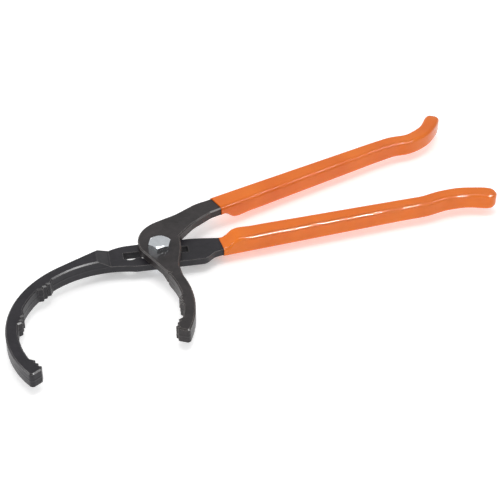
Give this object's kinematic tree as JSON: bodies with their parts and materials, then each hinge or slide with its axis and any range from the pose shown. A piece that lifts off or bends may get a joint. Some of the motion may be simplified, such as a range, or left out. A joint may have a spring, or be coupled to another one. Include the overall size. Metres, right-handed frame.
{
  "type": "oil filter wrench",
  "caption": "Long slip-joint pliers with two curved toothed jaws that open wide around a spin-on filter, a notched slot at the pivot and dipped vinyl grips.",
  "frame": {"origin": "on the pivot bolt's axis, in the plane where the two levers' half laps meet, with the bolt in the third of the four notches", "axes": "+X along the slot towards the handles, +Y towards the short-jaw lever's handle, +Z along the pivot towards the bolt's head"},
  "size_m": [0.4896, 0.3398, 0.03],
  "materials": {
    "forged_steel_long": "satin black oxide over forged steel, edges worn lighter",
    "forged_steel_short": "satin black oxide over forged steel, slightly browner",
    "dipped_vinyl": "glossy orange dipped vinyl",
    "zinc_plate": "bright zinc plate",
    "nylon": "off-white nylon"
  },
  "bodies": {
    "long_jaw": {"long_jaw_lever": "forged_steel_long", "long_jaw_grip": "dipped_vinyl"},
    "carriage": {"flat_washer": "zinc_plate"},
    "short_jaw": {"short_jaw_lever": "forged_steel_short", "short_jaw_grip": "dipped_vinyl", "pivot_bolt": "zinc_plate", "lock_nut": "zinc_plate", "nut_insert": "nylon"}
  },
  "joints": [
    {"name": "pivot_shift", "type": "slide", "parent": "long_jaw", "child": "carriage", "axis": [1, 0, 0], "range_m": [-0.028, 0.014]},
    {"name": "jaw_pivot", "type": "hinge", "parent": "carriage", "child": "short_jaw", "pos_m": [0, 0, 0], "axis": [0, 0, 1], "range_deg": [-17, 38]}
  ]
}
